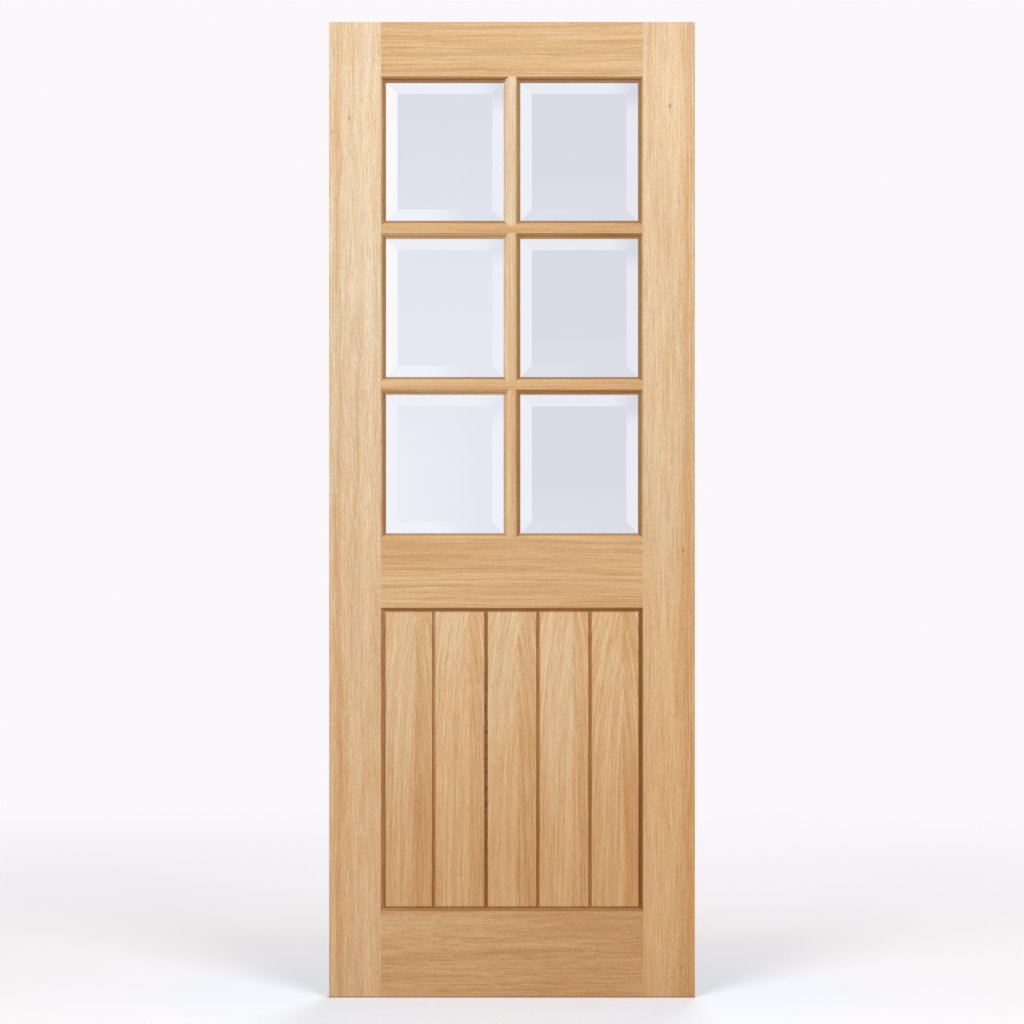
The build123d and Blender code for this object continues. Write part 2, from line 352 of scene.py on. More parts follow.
hairs = calc(tree, "MULTIPLY", hairs, calc(tree, "MULTIPLY_ADD", broken, *hair_breaks))
flecks = centred(tree, stretched_noise(tree, place, fleck_scale, 2))
tone = calc(tree, "ADD", given["Tone Shift"], 0.5)
for part, strength in ((bands, "Bands"), (lines, "Lines"), (hairs, "Hairs"), (flecks, "Flecks")):
    tone = calc(tree, "MULTIPLY_ADD", part, given[strength], tone)
past_heart = smooth_step(tree, to_side, *past_the_heart)
far_side = smooth_step(tree, to_side, *well_past_the_heart)
dark_side = calc(tree, "MULTIPLY_ADD", far_side, far_side_relief, 1.0)
dark_side = calc(tree, "MULTIPLY", past_heart, dark_side)
dark_side = calc(tree, "MULTIPLY", dark_side, given["Dark Side"])
tone = calc(tree, "SUBTRACT", tone, dark_side)
colour = mix_colour(tree, tone, given["Amber"], given["Cream"])
blushing = smooth_step(tree, stretched_noise(tree, place, blush_scale, 1), *blush_spread)
colour = mix_colour(tree, blushing, colour, tinted(tree, colour, given["Blush"]))
dash = smooth_step(tree, stretched_noise(tree, place, dash_scale, 1), *dash_sizes)
dash = calc(tree, "MULTIPLY", dash, given["Dashes"])
pore = smooth_step(tree, stretched_noise(tree, place, pore_scale, 1), *pore_sizes)
pore = calc(tree, "MULTIPLY", pore, given["Pores"])
colour = mix_colour(tree, calc(tree, "ADD", dash, pore), colour, given["Pore Colour"])
tree.links.new(colour, gives["Color"])
roughness = calc(tree, "MULTIPLY_ADD", hairs, hair_roughness, smooth_lacquer)
roughness = calc(tree, "MULTIPLY_ADD", pore, pore_roughness, roughness)
tree.links.new(roughness, gives["Roughness"])
height = calc(tree, "MULTIPLY", hairs, hair_height)
height = calc(tree, "MULTIPLY_ADD", lines, line_height, height)
tree.links.new(calc(tree, "SUBTRACT", height, pore), gives["Height"])

# A moulding or groove, told by how far it lies below the member's face. Its round, the
# round's foot and the lip get their own tints: painted light and shade, darker where shade
# gathers in the hollows, and a painted highlight where a tint is above one.
off_face = (0.0001, 0.0005)
tone_change = 0.0008
painted_moulding_shade, given, gives = shader_group(
    "painted_moulding_shade",
    [
        ("Color", "Color", None),
        ("Depth", "Float", 0.0),
        ("Face", "Float", leaf_high.y),
        ("Foot Start", "Float", 0.0036),
        ("Lip Start", "Float", 0.0070),
        ("Edge Tint", "Color", (0.78, 0.66, 0.52, 1)),
        ("Foot Tint", "Color", (0.50, 0.36, 0.19, 1)),
        ("Lip Tint", "Color", (0.46, 0.31, 0.16, 1)),
    ],
    [("Color", "Color"), ("Mask", "Float")],
)
tree = painted_moulding_shade
below = calc(tree, "SUBTRACT", given["Face"], calc(tree, "ABSOLUTE", given["Depth"]))
on_edge = smooth_step(tree, below, *off_face)
tint = given["Edge Tint"]
for zone in ("Foot", "Lip"):
    start = given[zone + " Start"]
    in_zone = smooth_step(tree, below, start, calc(tree, "ADD", start, tone_change))
    tint = mix_colour(tree, in_zone, tint, given[zone + " Tint"])
colour = mix_colour(tree, on_edge, given["Color"], tinted(tree, given["Color"], tint))
tree.links.new(colour, gives["Color"])
tree.links.new(on_edge, gives["Mask"])

# A pin knot: a few millimetres of dark swirl, twice as long as wide.
knot_width_to_length = 0.45
knot_fade = (0.1, 1.2)
knot_strength = 0.9
pin_knot, given, gives = shader_group(
    "pin_knot",
    [
        ("Place", "Vector", None),
        ("Side", "Float", 0.0),
        ("Level", "Float", 0.0),
        ("Size", "Float", 0.003),
    ],
    [("Mask", "Float")],
)
tree = pin_knot
where = add_node(tree, "SeparateXYZ", {0: given["Place"]}).outputs
off_side = calc(tree, "SUBTRACT", where["X"], given["Side"])
off_level = calc(tree, "SUBTRACT", where["Z"], given["Level"])
off_level = calc(tree, "MULTIPLY", off_level, knot_width_to_length)
apart = calc(tree, "DIVIDE", length_of(tree, off_side, off_level), given["Size"])
core = calc(tree, "SUBTRACT", 1, smooth_step(tree, apart, *knot_fade))
tree.links.new(calc(tree, "MULTIPLY", core, knot_strength), gives["Mask"])


# A streak is a band along a stile, lighter or darker, that sways from side to side.
sway_scale = (4, 4)
sway_depth = 0.03


def streaked_tone(tree, place, where, streaks, tone):
    for middle, half_width, depth in streaks:
        sway = centred(tree, stretched_noise(tree, place, sway_scale, 2))
        off = calc(tree, "SUBTRACT", where["X"], middle)
        off = calc(tree, "ABSOLUTE", calc(tree, "MULTIPLY_ADD", sway, sway_depth, off))
        streak = calc(tree, "MULTIPLY", smooth_step(tree, off, half_width, 0.0), depth)
        tone = calc(tree, "ADD", tone, streak)
    return tone


# A member's tint carries painted light and shade: paler up the leaf and darker down it, as
# from high lamps, and it may be painted lighter or darker to the right. It may also change
# towards the leaf's head and foot.
def member_tint(tree, where, tint, painted_low_leaf_tint, levels, right_tint, end_tint):
    up_leaf = smooth_step(tree, where["Z"], *levels)
    member = mix_colour(tree, up_leaf, rgba(painted_low_leaf_tint or tint), rgba(tint))
    to_right = smooth_step(tree, where["X"], *left_to_right)
    member = tinted(tree, member, mix_colour(tree, to_right, rgba(untinted), rgba(right_tint)))
    at_end = smooth_step(tree, away_from(tree, where["Z"], leaf_middle), *to_the_ends)
    return tinted(tree, member, mix_colour(tree, at_end, rgba(untinted), rgba(end_tint)))


# The painted light and shade of moulded edges is laid on in turn, as lit and shaded tints.
# Each covers them all, or only those that face one way, lie low beside the boards, or lie right
# of the middle. The outside of the leaf stays plain.
def painted_edge_shade(tree, where, plain, edges):
    normal = add_node(tree, "NewGeometry").outputs["True Normal"]
    off_sides = calc(tree, "ABSOLUTE", where["X"])
    within_leaf = multiplied(
        tree,
        smooth_step(tree, off_sides, *inside_side_edges),
        smooth_step(tree, where["Z"], *inside_head_edge),
    )
    colour = plain
    for choice in edges:
        tints = dict(choice)
        faces = tints.pop("faces", None)
        low = tints.pop("low", False)
        right = tints.pop("right", False)
        shaded_edge = use_group(tree, painted_moulding_shade, color=plain, depth=where["Y"], **tints)
        chosen = within_leaf
        if faces:
            turned = add_node(tree, "VectorMath", {0: normal, 1: faces}, operation="DOT_PRODUCT")
            turned = smooth_step(tree, turned.outputs["Value"], *facing_enough)
            chosen = multiplied(tree, chosen, turned)
        if low:
            chosen = multiplied(tree, chosen, smooth_step(tree, where["Z"], *below_mid_rail))
        if right:
            chosen = multiplied(tree, chosen, smooth_step(tree, where["X"], *right_of_middle))
        colour = mix_colour(tree, chosen, colour, shaded_edge["Color"])
    return colour, shaded_edge["Mask"]


# Dark specks in the low part of one board joint.
speck_brown = (0.14, 0.06, 0.02, 1)
speck_scale = (300, 140)
speck_sizes = (0.50, 0.57)
speck_reach = (0.007, 0.004)
speck_middle = 0.48
speck_run = (0.26, 0.14)
speck_share = 0.85


def specked_joint(tree, place, where, colour, on_edge, joint):
    specks = smooth_step(tree, stretched_noise(tree, place, speck_scale, 2), *speck_sizes)
    near = smooth_step(tree, away_from(tree, where["X"], joint), *speck_reach)
    low_part = smooth_step(tree, away_from(tree, where["Z"], speck_middle), *speck_run)
    share = multiplied(tree, specks, on_edge, near, low_part, speck_share)
    return mix_colour(tree, share, colour, speck_brown)


def oak_material(
    name, lying=False, seed=(0, 0, 0), tint=untinted, painted_low_leaf_tint=None, levels=painted_falloff_levels,
    right_tint=untinted, end_tint=untinted, edges=({},), streaks=(), specks_at=None,
    knots=(), tone_shift=0.0, **grain,
):
    material, tree, place = bare_material(name)
    where = add_node(tree, "SeparateXYZ", {0: place}).outputs
    turn = (0, radians(90), 0) if lying else (0, 0, 0)
    laid = {"Vector": place, "Rotation": turn, "Location": seed}
    along_grain = add_node(tree, "Mapping", laid).outputs[0]
    tone_shift = streaked_tone(tree, place, where, streaks, tone_shift)
    oak = use_group(tree, oak_grain, place=along_grain, tone_shift=tone_shift, **grain)
    member = member_tint(tree, where, tint, painted_low_leaf_tint, levels, right_tint, end_tint)
    plain = tinted(tree, oak["Color"], member)
    for side, level, size in knots:
        knot = use_group(tree, pin_knot, place=place, side=side, level=level, size=size)
        plain = mix_colour(tree, knot["Mask"], plain, knot_brown)
    # Painted contact shadow: the leaf's foot is darkened towards the pore brown.
    at_foot = smooth_step(tree, where["Z"], *painted_foot_shadow)
    at_foot = calc(tree, "MULTIPLY", at_foot, painted_foot_shadow_share)
    plain = mix_colour(tree, at_foot, plain, pore_and_foot_shadow_brown)
    colour, on_edge = painted_edge_shade(tree, where, plain, edges)
    if specks_at is not None:
        colour = specked_joint(tree, place, where, colour, on_edge, specks_at)
    sanded = {"Height": oak["Height"], "Strength": 0.15, "Distance": 0.0004}
    bump = add_node(tree, "Bump", sanded).outputs["Normal"]
    matt = {"Base Color": colour, "Roughness": oak["Roughness"], "Normal": bump}
    show_surface(tree, add_node(tree, "BsdfPrincipled", {**matt, "IOR": lacquer_index}))
    return material


def finish_node(name, material):
    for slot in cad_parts[name].material_slots:
        slot.material = material


# The stiles' edge tints are painted light and shade in their mouldings, with their own tints low
# beside the boards.
left_stile_oak = oak_material(
    "left_stile_oak",
    tint=(0.952, 0.98, 0.965),
    painted_low_leaf_tint=(0.965, 0.83, 0.655),
    end_tint=(0.965, 0.945, 0.94),
    knots=((-0.339, 1.832, 0.0026),),
    streaks=((-0.361, 0.014, -0.34), (-0.302, 0.014, 0.13)),
    edges=(
        {},
        {
            "low": True,
            "edge_tint": (0.60, 0.46, 0.30, 1),
            "foot_tint": (0.90, 0.78, 0.58, 1),
            "lip_tint": (0.55, 0.40, 0.24, 1),
        },
    ),
    heart_side=-0.9, heart_depth=0.35, shortness=2.0,
    bands=0.4, lines=0.5, hairs=1.5, flecks=0.9,
)
right_stile_oak = oak_material(
    "right_stile_oak",
    seed=(0, 0, 7.3),
    tint=(0.932, 0.905, 0.815),
    painted_low_leaf_tint=(0.94, 0.76, 0.535),
    levels=(0.35, 1.35),
    end_tint=(0.945, 0.91, 0.90),
    knots=((0.329, 1.857, 0.0034), (0.356, 0.932, 0.0028)),
    streaks=((0.369, 0.030, -0.34),),
    edges=(
        {},
        {
            "low": True,
            "edge_tint": (0.42, 0.31, 0.19, 1),
            "foot_tint": (0.46, 0.33, 0.19, 1),
            "lip_tint": (0.33, 0.21, 0.11, 1),
        },
    ),
    heart_side=0.8, heart_depth=-0.3, shortness=1.6,
    bands=0.45, lines=0.5, hairs=1.5, flecks=0.85,
)
finish_node("left_stile", left_stile_oak)
finish_node("right_stile", right_stile_oak)


# The three rails: oak with the grain lying across, moulded where they face glass or boards,
# their ends scribed to the stiles and held by loose tenons.
# The rails' edge tints are painted light and shade in their mouldings, darkest in the hollows,
# with the mid rail's down-facing edges tinted apart.
top_rail_edges = (
    {
        "edge_tint": (0.86, 0.68, 0.44, 1),
        "foot_tint": (0.66, 0.44, 0.22, 1),
        "lip_tint": (0.75, 0.60, 0.40, 1),
    },
)
mid_rail_edges = (
    {
        "edge_tint": (0.86, 0.80, 0.70, 1),
        "foot_tint": (0.74, 0.66, 0.52, 1),
        "lip_tint": (0.52, 0.42, 0.28, 1),
    },
    {
        "faces": (0, 0, -1),
        "edge_tint": (0.66, 0.50, 0.30, 1),
        "foot_tint": (0.98, 0.82, 0.55, 1),
    },
)
bottom_rail_edges = (
    {
        "edge_tint": (0.53, 0.42, 0.28, 1),
        "foot_tint": (0.80, 0.70, 0.56, 1),
    },
)
# Each rail's tint is painted lighter or darker to the right, light and shade across the leaf.
rails = {
    "top_rail": {
        "seed": (3.1, 0.4, 0),
        "tint": (0.802, 0.678, 0.485),
        "right_tint": (1.01, 1.03, 1.06),
        "edges": top_rail_edges,
        "lines": 1.2,
    },
    "mid_rail": {
        "seed": (5.7, 0.9, 0),
        "tint": (0.897, 0.767, 0.583),
        "right_tint": (0.949, 0.879, 0.805),
        "edges": mid_rail_edges,
        "lines": 1.2,
    },
    "bottom_rail": {
        "seed": (9.2, 1.3, 0),
        "tint": (0.858, 0.666, 0.471),
        "right_tint": (0.93, 0.88, 0.83),
        "edges": bottom_rail_edges,
        "lines": 0.863,
        "shortness": 3.0,
        "flecks": 0.698,
    },
}
for name, own in rails.items():
    rail_oak = oak_material(
        name + "_oak", lying=True,
        heart_side=0.35, heart_depth=0.5, wander=0.022, bands=0.8, hairs=1.5, **own,
    )
    finish_node(name, rail_oak)


# The glazing bars: two across, in one length from stile to stile, and three upright between
# them, moulded on both edges. Their mouldings carry painted light and shade: painted
# highlights where they face left, or face down over the left-hand panes, and darker where they
# face right or face down over the right-hand panes.
cross_bar_edges = (
    {
        "edge_tint": (0.90, 0.88, 0.82, 1),
        "foot_tint": (0.72, 0.66, 0.54, 1),
        "lip_tint": (0.48, 0.42, 0.29, 1),
    },
    {
        "faces": (0, 0, -1),
        "edge_tint": (1.32, 1.40, 1.50, 1),
        "foot_tint": (1.30, 1.35, 1.40, 1),
        "lip_tint": (1.20, 1.22, 1.25, 1),
    },
    {
        "faces": (0, 0, -1), "right": True,
        "edge_tint": (0.92, 0.74, 0.44, 1),
        "foot_tint": (1.02, 0.83, 0.50, 1),
        "lip_tint": (1.05, 0.92, 0.72, 1),
    },
)
upright_bar_edges = (
    {
        "edge_tint": (1.15, 1.18, 1.20, 1),
        "foot_tint": (1.32, 1.44, 1.60, 1),
        "lip_tint": (0.95, 0.91, 0.80, 1),
    },
    {
        "faces": (1, 0, 0),
        "edge_tint": (0.80, 0.70, 0.54, 1),
        "foot_tint": (0.52, 0.37, 0.20, 1),
        "lip_tint": (0.55, 0.42, 0.25, 1),
    },
)
# Each cross bar is painted darker to the right, as shade.
for name, seed, tint, right_tint in (
    ("lower_cross_bar", (1.7, 2.2, 0), (0.853, 0.706, 0.503), (0.913, 0.846, 0.749)),
    ("upper_cross_bar", (4.4, 2.9, 0), (0.836, 0.726, 0.528), (0.899, 0.794, 0.684)),
):
    bar_oak = oak_material(
        name + "_oak", lying=True, seed=seed, tint=tint, right_tint=right_tint,
        edges=cross_bar_edges, heart_side=0.3, heart_depth=0.4,
    )
    finish_node(name, bar_oak)
for name, seed, tint in (
    ("lower_upright_bar", (0.6, 0.3, 1.0), (0.893, 0.775, 0.62)),
    ("middle_upright_bar", (1.1, 0.7, 2.0), (0.905, 0.873, 0.765)),
    ("upper_upright_bar", (1.9, 1.2, 3.0), (0.926, 0.936, 0.902)),
):
    bar_oak = oak_material(
        name + "_oak", seed=seed, tint=tint,
        edges=upright_bar_edges, heart_side=0.25, heart_depth=0.4,
    )
    finish_node(name, bar_oak)


# The six panes: 6 mm clear plate with a 33 mm polished bevel all round the front. Their colour
# carries a painted reflection: the middle and each bevel are painted brighter or darker, as if
# each showed the pale surround bent another way.
rows = ("lower", "middle", "upper")
columns = ("left", "right")
glass_index = 1.52
painted_deep_glass = (0.70, 0.742, 0.80, 1)
painted_light_glass = (0.90, 0.945, 0.99, 1)
painted_glare_glass = (0.985, 1.0, 0.99, 1)
shadow_glass = (0.90, 0.92, 0.95, 1)
bevel_slope = (0.03, 0.06)
front_slope = (0.4, 0.6)
left_of_middle = (0.02, -0.02)
down_from_the_head = (1.90, 1.35)
in_the_low_row = (1.30, 1.10)
in_the_upper_rows = (1.25, 1.30)
polish_scale = (9, 9)
polish_roughness = 0.012
first_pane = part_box("lower_left_pane")[0]
pane_step_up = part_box("middle_left_pane")[0].z - first_pane.z
pane_step_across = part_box("lower_right_pane")[0].x - first_pane.x

glass, tree, place = bare_material("bevelled_plate_glass")
where = add_node(tree, "SeparateXYZ", {0: place}).outputs
geometry = add_node(tree, "NewGeometry").outputs
outward = calc(tree, "MULTIPLY_ADD", geometry["Backfacing"], -2.0, 1.0)
facet = {0: geometry["True Normal"], "Scale": outward}
facet = add_node(tree, "VectorMath", facet, operation="SCALE").outputs[0]
facet = add_node(tree, "SeparateXYZ", {0: facet}).outputs
left_bevel = smooth_step(tree, calc(tree, "MULTIPLY", facet["X"], -1), *bevel_slope)
right_bevel = smooth_step(tree, facet["X"], *bevel_slope)
top_bevel = smooth_step(tree, facet["Z"], *bevel_slope)
bottom_bevel = smooth_step(tree, calc(tree, "MULTIPLY", facet["Z"], -1), *bevel_slope)
front = smooth_step(tree, calc(tree, "MULTIPLY", facet["Y"], -1), *front_slope)
across = calc(tree, "ADD", where["X"], pane_step_across)
across = calc(tree, "FRACT", calc(tree, "DIVIDE", across, pane_step_across))
up = calc(tree, "SUBTRACT", where["Z"], first_pane.z)
up = calc(tree, "FRACT", calc(tree, "DIVIDE", up, pane_step_up))
left_column = smooth_step(tree, where["X"], *left_of_middle)
further_down = smooth_step(tree, where["Z"], *down_from_the_head)
low_row = smooth_step(tree, where["Z"], *in_the_low_row)
upper_rows = smooth_step(tree, where["Z"], *in_the_upper_rows)


def blend_in(mask, first, second):
    return add_node(tree, "Mix", {0: mask, 2: first, 3: second}).outputs[0]


def by_column(on_left, on_right):
    return blend_in(left_column, on_right, on_left)


# The painted reflection's brightness runs from 0, deep glass, to 1, light glass. The pair for
# each bevel is its brightness in the left and the right column, and a gain is what the low row
# adds to it. Three bevels fade into the middle of the pane: the right one upwards, the level
# ones to the right.
left_middle_tone = 0.19
left_middle_gain_down = 0.38
slope_to_left = 1.6
slope_start = -0.07
right_middle_tone = 0.05
right_middle_gain_down = 0.12
near_pane_foot = (0.35, 0.15)
left_bevel_tones = (1.0, 0.9)
right_bevel_tones = (0.85, 0.65)
top_bevel_tones = (0.88, 0.73)
bottom_bevel_tones = (1.0, 0.28)
left_bevel_gain = 0.02
right_bevel_gain = 0.12
top_bevel_gain = 0.07
right_bevel_fade = (0.70, 0.85)
top_bevel_fade = (0.70, 0.95)
bottom_bevel_fade = (0.35, 0.70)

left_middle = calc(tree, "MULTIPLY_ADD", further_down, left_middle_gain_down, left_middle_tone)
toward_left = calc(tree, "SUBTRACT", slope_start, where["X"])
toward_left = calc(tree, "MULTIPLY", toward_left, slope_to_left)
left_middle = calc(tree, "MULTIPLY_ADD", toward_left, low_row, left_middle)
at_foot = smooth_step(tree, up, *near_pane_foot)
right_middle = calc(tree, "MULTIPLY_ADD", at_foot, right_middle_gain_down, right_middle_tone)
middle = by_column(left_middle, right_middle)
tone_on_left, tone_on_right = left_bevel_tones
tone_on_right = calc(tree, "MULTIPLY_ADD", low_row, left_bevel_gain, tone_on_right)
on_left = by_column(tone_on_left, tone_on_right)
on_right = by_column(*right_bevel_tones)
on_right = calc(tree, "MULTIPLY_ADD", low_row, right_bevel_gain, on_right)
on_right = blend_in(smooth_step(tree, up, *right_bevel_fade), on_right, middle)
on_top = by_column(*top_bevel_tones)
on_top = calc(tree, "MULTIPLY_ADD", low_row, top_bevel_gain, on_top)
on_top = blend_in(smooth_step(tree, across, *top_bevel_fade), on_top, middle)
on_bottom = by_column(*bottom_bevel_tones)
on_bottom = blend_in(smooth_step(tree, across, *bottom_bevel_fade), on_bottom, middle)
painted_brightness = middle
for bevel, tone in (
    (left_bevel, on_left),
    (right_bevel, on_right),
    (top_bevel, on_top),
    (bottom_bevel, on_bottom),
):
    painted_brightness = blend_in(bevel, painted_brightness, tone)
painted_glass_tint = mix_colour(tree, painted_brightness, painted_deep_glass, painted_light_glass)
# A painted glare whitens the left bevels of the panes in the left column's two upper rows.
painted_glare = multiplied(tree, left_bevel, left_column, upper_rows)
painted_glass_tint = mix_colour(tree, painted_glare, painted_glass_tint, painted_glare_glass)

# A face passes only the root of its colour, and the front alone is tinted, so its tint is squared.
painted_glass_tint = tinted(tree, painted_glass_tint, painted_glass_tint)
painted_glass_tint = mix_colour(tree, front, rgba(untinted), painted_glass_tint)
polish = stretched_noise(tree, place, polish_scale, 2)
polish = calc(tree, "MULTIPLY", polish, polish_roughness)
plate = {
    "Base Color": painted_glass_tint, "Roughness": polish,
    "Metallic": 0.0, "Transmission Weight": 1.0, "IOR": glass_index,
}
plate = add_node(tree, "BsdfPrincipled", plate)
clear = add_node(tree, "BsdfTransparent", {"Color": shadow_glass})
casting_shadow = add_node(tree, "LightPath").outputs["Is Shadow Ray"]
show_surface(tree, mix_surfaces(tree, casting_shadow, plate, clear))
for row in rows:
    for column in columns:
        finish_node(f"{row}_{column}_pane", glass)


# The glazing tape: grey closed-cell foam, stuck behind the lip and pressed by the glass.
foam_dark = (0.36, 0.34, 0.31, 1)
foam_light = (0.52, 0.50, 0.46, 1)
cell_scale = 1400.0
cloud_scale = (60, 60)
foam, tree, place = bare_material("glazing_foam")
cells = add_node(tree, "TexVoronoi", {"Vector": place, "Scale": cell_scale})
cells = cells.outputs["Distance"]
cloud = stretched_noise(tree, place, cloud_scale, 2)
bump = add_node(tree, "Bump", {"Height": cells, "Strength": 0.5, "Distance": 0.0002})
soft = {
    "Base Color": mix_colour(tree, cloud, foam_dark, foam_light),
    "Roughness": calc(tree, "MULTIPLY_ADD", cells, 0.2, 0.75),
    "Normal": bump.outputs[0],
}
show_surface(tree, add_node(tree, "BsdfPrincipled", soft))
for row in rows:
    for column in columns:
        finish_node(f"{row}_{column}_tape", foam)


# The glazing beads: small oak mouldings with a round to the opening, mitred at the corners and
# pinned from the back, so that a broken pane can be changed.
# The beads' edge tints are painted shade on their rounds.
bead_edges = (
    {
        "edge_tint": (0.90, 0.84, 0.78, 1),
        "foot_tint": (0.84, 0.76, 0.67, 1),
        "lip_tint": (0.80, 0.70, 0.60, 1),
    },
)
upright_bead_oak = oak_material(
    "upright_bead_oak", seed=(2.3, 4.1, 5.0), tint=(0.93, 0.86, 0.74),
    edges=bead_edges, heart_side=0.2, heart_depth=0.5,
)
level_bead_oak = oak_material(
    "level_bead_oak", lying=True, seed=(6.3, 5.1, 0.0), tint=(0.91, 0.82, 0.69),
    edges=bead_edges, heart_side=0.2, heart_depth=0.5,
)
bead_sides = {
    "left": (Vector((-1, 0, 0)), upright_bead_oak),
    "right": (Vector((1, 0, 0)), upright_bead_oak),
    "bottom": (Vector((0, 0, -1)), level_bead_oak),
    "top": (Vector((0, 0, 1)), level_bead_oak),
}
bead_names = [
    (f"{row}_{column}_bead_{side}", side)
    for row in rows
    for column in columns
    for side in bead_sides
]
for name, side in bead_names:
    finish_node(name, bead_sides[side][1])


# The bead pins: small brass-coloured brads, three to an upright bead and two to a level one,
# driven through the round at a slant into the rebate and left flush.
pin_end_margin = 0.040
pin_spacing = 0.105
pin_head_radius = 0.0009
pin_head_height = 0.0004
pin_head_sides = 12
pin_crown_share = 0.6
pin_sunk = 0.0005
bead_width = 0.012
bead_round = 0.008
round_centre_across = 0.009
round_centre_inset = 0.0085
pin_slant = radians(45)
brass_dark = (0.42, 0.30, 0.14, 1)
brass_light = (0.72, 0.56, 0.30, 1)
tarnish_scale = (900, 900)

brass, tree, place = bare_material("pin_brass")
tarnish = stretched_noise(tree, place, tarnish_scale, 2)
hammered = add_node(tree, "Bump", {"Height": tarnish, "Strength": 0.3, "Distance": 0.0001})
metal = {
    "Base Color": mix_colour(tree, tarnish, brass_dark, brass_light),
    "Roughness": calc(tree, "MULTIPLY_ADD", tarnish, 0.25, 0.25),
    "Normal": hammered.outputs[0], "Metallic": 1.0,
}
show_surface(tree, add_node(tree, "BsdfPrincipled", metal))

points, drives, runs = [], [], []
round_reach = bead_round * cos(pin_slant)
facing_back = Vector((0, cos(pin_slant), 0))
for name, side in bead_names:
    outward = bead_sides[side][0]
    low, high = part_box(name)
    length_way = Vector((abs(outward.z), 0, abs(outward.x)))
    half_run = (high - low).dot(length_way) / 2 - pin_end_margin
    middle = (low + high) / 2 + outward * (round_centre_across - round_reach - bead_width / 2)
    middle.y = high.y - round_centre_inset + round_reach - pin_sunk
    for way in (-1, 1):
        points.append(middle + length_way * half_run * way)
        drives.append(facing_back - outward * cos(pin_slant))
    runs.append((len(points) - 2, len(points) - 1))
guide = bpy.data.meshes.new("bead_pin_lines")
guide.from_pydata(points, runs, [])
drive_axis = guide.attributes.new("drive_axis", "FLOAT_VECTOR", "POINT")
drive_axis.data.foreach_set("vector", [value for drive in drives for value in drive])
pin_lines = bpy.data.objects.new("bead_pin_lines", guide)
scene.collection.objects.link(pin_lines)

pins_tree = bpy.data.node_groups.new("pins_along_beads", "GeometryNodeTree")
face = pins_tree.interface
face.new_socket("Geometry", in_out="INPUT", socket_type="NodeSocketGeometry")
pin_inputs = {}
for label, kind, value in (
    ("Pin Spacing", "Float", pin_spacing),
    ("Head Radius", "Float", pin_head_radius),
    ("Head Height", "Float", pin_head_height),
    ("Head Sides", "Int", pin_head_sides),
    ("Material", "Material", brass),
):
    socket = face.new_socket(label, in_out="INPUT", socket_type="NodeSocket" + kind)
    pin_inputs[socket.identifier] = value
face.new_socket("Geometry", in_out="OUTPUT", socket_type="NodeSocketGeometry")

tree = pins_tree
entry = add_node(tree, "NodeGroupInput").outputs
lines = add_node(tree, "GeometryNodeMeshToCurve", {"Mesh": entry["Geometry"]}).outputs[0]
spacing = {"Curve": lines, "Length": entry["Pin Spacing"]}
spaced = add_node(tree, "GeometryNodeResampleCurve", spacing, mode="LENGTH").outputs[0]
head = {
    "Vertices": entry["Head Sides"],
    "Radius Top": calc(tree, "MULTIPLY", entry["Head Radius"], pin_crown_share),
    "Radius Bottom": entry["Head Radius"],
    "Depth": entry["Head Height"],
}
head = add_node(tree, "GeometryNodeMeshCone", head).outputs["Mesh"]
named = {"Name": "drive_axis"}
drive = add_node(tree, "GeometryNodeInputNamedAttribute", named, data_type="FLOAT_VECTOR")
drive = {"Vector": drive.outputs["Attribute"]}
turned = add_node(tree, "FunctionNodeAlignRotationToVector", drive, axis="Z").outputs[0]
set_in = {"Points": spaced, "Instance": head, "Rotation": turned}
set_in = add_node(tree, "GeometryNodeInstanceOnPoints", set_in).outputs[0]
real = add_node(tree, "GeometryNodeRealizeInstances", {"Geometry": set_in}).outputs[0]
finished = {"Geometry": real, "Material": entry["Material"]}
finished = add_node(tree, "GeometryNodeSetMaterial", finished).outputs[0]
add_node(tree, "NodeGroupOutput", {"Geometry": finished})
pinning = pin_lines.modifiers.new("pins", "NODES")
pinning.node_group = pins_tree
for identifier, value in pin_inputs.items():
    pinning[identifier] = value
evaluated = pin_lines.evaluated_get(bpy.context.evaluated_depsgraph_get())
pin_mesh = bpy.data.meshes.new_from_object(evaluated)
pin_lines.modifiers.remove(pinning)
bpy.data.objects.remove(pin_lines)
pins = bpy.data.objects.new("bead_pins", pin_mesh)
scene.collection.objects.link(pins)
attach(pins, "root")


# The five boards: crown-cut oak, tongued and grooved, bevelled all round so that each joint
# shows as a V. They float in the frame's groove, each with the dark side of its arch to the
# right, and their bevels carry painted light and shade, darker where they face right.
board_width = 0.1085
middle_board = 3
peak_from_left = 0.635
board_face_level = 0.0135
# The boards' tint, too, is painted paler up the leaf and darker down it, light and shade as from
# high lamps.
board_painted_falloff_levels = (0.2, 0.8)
log_spacing = 11.0
high_tint = Vector((0.955, 0.85, 0.69))
painted_low_leaf_tint = Vector((0.86, 0.665, 0.452))


# The boards lie back from the frame's face, so their bevels count their depth from there.
def board_bevel(edge_tint, foot_tint, faces=None):
    depths = {"face": board_face_level, "foot_start": 0.0022, "lip_start": 0.0050}
    tints = {"edge_tint": rgba(edge_tint), "foot_tint": rgba(foot_tint)}
    return {**depths, **tints, "faces": faces}


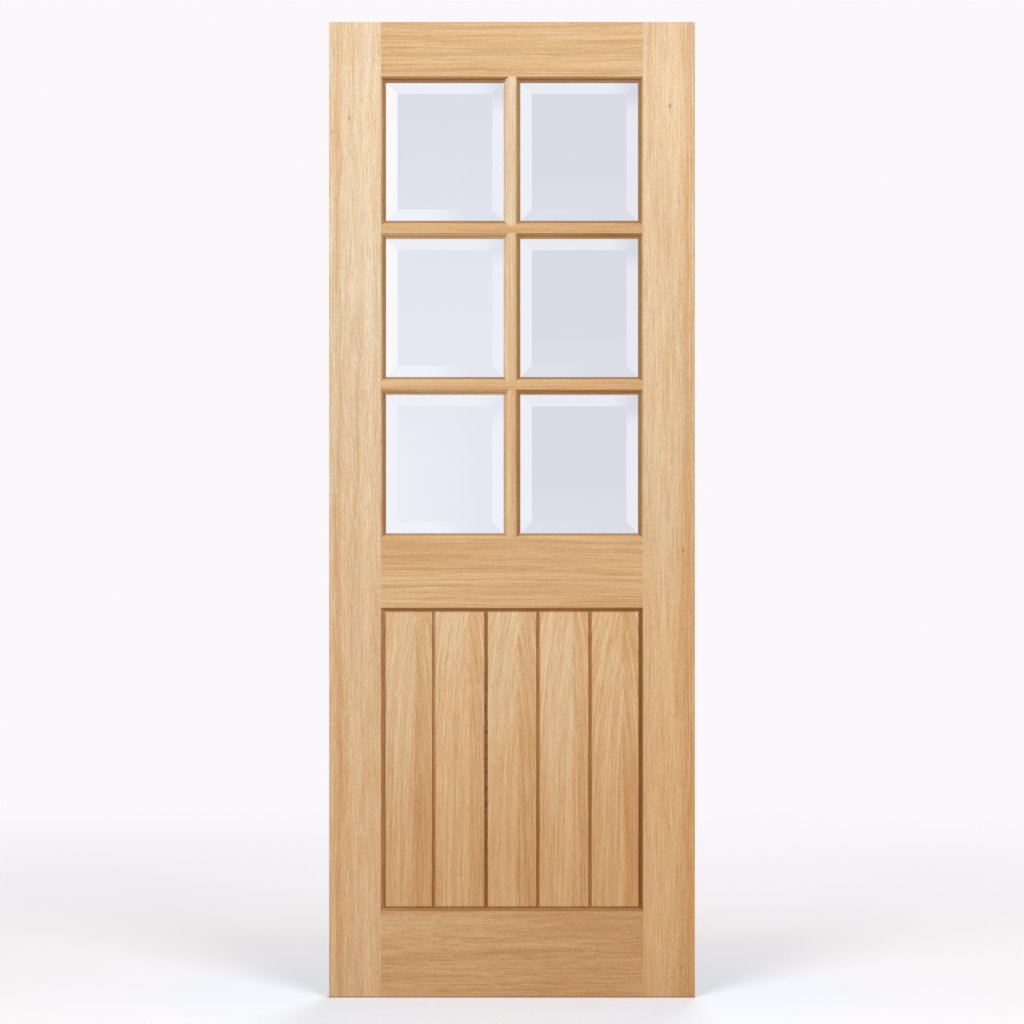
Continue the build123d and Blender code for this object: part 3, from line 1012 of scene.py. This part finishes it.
# The bevels' tints are painted light and shade: darker where a bevel faces right, a painted
# highlight where it faces down, and their own on the left bevels of boards 2 and 3.
board_edges = (
    board_bevel((0.70, 0.56, 0.40), (0.76, 0.63, 0.47)),
    board_bevel((0.62, 0.47, 0.30), (0.56, 0.42, 0.27), faces=(1, 0, 0)),
    board_bevel((1.2, 1.25, 1.2), (1.2, 1.25, 1.2), faces=(0, 0, -1)),
)
left_bevels = {2: (0.88, 0.76, 0.58), 3: (0.50, 0.37, 0.24)}
boards_at_specks = (2, 3)
for number, lean, arch_level, tone_shift, log_tint in (
    (1, 0.0, 0.83, 0.1, (0.993, 0.988, 0.985)),
    (2, 0.004, 0.85, 0.1, (1.012, 1.012, 1.008)),
    (3, -0.002, 0.82, 0.1, (0.997, 0.990, 0.977)),
    (4, 0.003, 0.84, 0.1, (1.001, 0.990, 0.978)),
    (5, -0.001, 0.76, 0.0, (1.004, 0.986, 0.960)),
):
    left_side = (number - middle_board - 0.5) * board_width
    up_the_log = number * log_spacing
    edges = board_edges
    if number in left_bevels:
        bevel_tint = left_bevels[number]
        edges += (board_bevel(bevel_tint, bevel_tint, faces=(-1, 0, 0)),)
    board_oak = oak_material(
        f"board_{number}_oak",
        seed=(0, 0, up_the_log),
        tint=high_tint * Vector(log_tint),
        painted_low_leaf_tint=painted_low_leaf_tint * Vector(log_tint),
        levels=board_painted_falloff_levels,
        edges=edges,
        specks_at=-board_width / 2 if number in boards_at_specks else None,
        tone_shift=tone_shift,
        heart_side=left_side + board_width * peak_from_left + lean,
        heart_depth=-0.012, wander=0.006, shortness=1.5,
        arch_rise=0.045, arch_level=arch_level + up_the_log, arch_length=0.2,
        bands=0.4, lines=1.3, hairs=1.6, flecks=0.55, dark_side=0.3,
    )
    finish_node(f"board_{number}", board_oak)


# The loose tenons and dowels: plain beech, glued into the joints and hidden there.
beech_dark = (0.50, 0.32, 0.18, 1)
beech_light = (0.72, 0.52, 0.34, 1)
beech_scale = (500, 60)
beech, tree, place = bare_material("joint_beech")
grain = stretched_noise(tree, place, beech_scale, 3)
bump = add_node(tree, "Bump", {"Height": grain, "Strength": 0.3, "Distance": 0.0002})
planed = {
    "Base Color": mix_colour(tree, grain, beech_dark, beech_light),
    "Roughness": calc(tree, "MULTIPLY_ADD", grain, 0.2, 0.55),
    "Normal": bump.outputs[0],
}
show_surface(tree, add_node(tree, "BsdfPrincipled", planed))
for name in ("top_rail_tenons", "mid_rail_tenons", "bottom_rail_tenons", "glazing_bar_dowels"):
    finish_node(name, beech)
